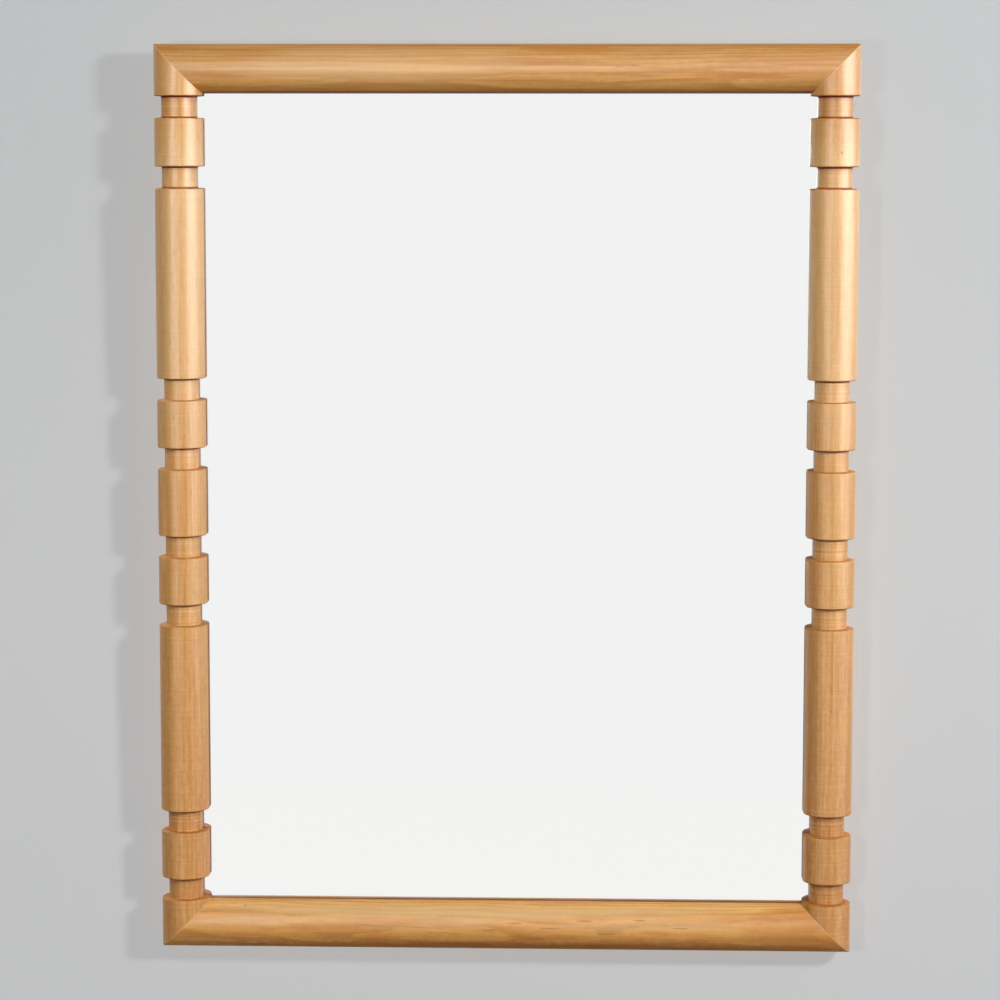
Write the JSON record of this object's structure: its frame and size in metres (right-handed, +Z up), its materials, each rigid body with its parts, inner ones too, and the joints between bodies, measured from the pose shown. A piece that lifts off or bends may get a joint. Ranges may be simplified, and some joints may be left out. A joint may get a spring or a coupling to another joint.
{
  "type": "framed wall mirror",
  "caption": "Wall mirror in a mitred pine frame: stiles turned with square-shouldered necks and beads, plain round rails, and strap hangers with swinging rings behind.",
  "frame": {"origin": "in the wall's plane, behind the middle of the mirror", "axes": "+X to the viewer's right, the glass faces -Y, +Z up"},
  "size_m": [0.69, 0.046, 0.9],
  "materials": {
    "pine": "clear satin varnish",
    "beech": "bare",
    "mirror": "polished",
    "card": "matte",
    "hardboard": "bare",
    "point_steel": "bright zinc plate",
    "strap_steel": "bright zinc plate",
    "ring_steel": "bright zinc plate",
    "screw_steel": "bright zinc plate",
    "bumper_rubber": "matte"
  },
  "bodies": {
    "frame": {"stile_left": "pine", "stile_right": "pine", "rail_top": "pine", "rail_bottom": "pine", "dowels_top_left": "beech", "dowels_top_right": "beech", "dowels_bottom_left": "beech", "dowels_bottom_right": "beech", "mirror_glass": "mirror", "card_sheet": "card", "back_board": "hardboard", "points_left": "point_steel", "points_right": "point_steel", "points_top": "point_steel", "points_bottom": "point_steel", "hanger_strap_left": "strap_steel", "hanger_strap_right": "strap_steel", "hanger_screws_left": "screw_steel", "hanger_screws_right": "screw_steel", "bumper_top_left": "bumper_rubber", "bumper_top_right": "bumper_rubber", "bumper_bottom_left": "bumper_rubber", "bumper_bottom_right": "bumper_rubber"},
    "ring_left": {"hanger_ring_left": "ring_steel"},
    "ring_right": {"hanger_ring_right": "ring_steel"}
  },
  "joints": [
    {"name": "ring_left_swing", "type": "hinge", "parent": "frame", "child": "ring_left", "pos_m": [-0.324, -0.0032, 0.2775], "axis": [-1, 0, 0], "range_deg": [0, 178]},
    {"name": "ring_right_swing", "type": "hinge", "parent": "frame", "child": "ring_right", "pos_m": [0.324, -0.0032, 0.2775], "axis": [-1, 0, 0], "range_deg": [0, 178]}
  ]
}
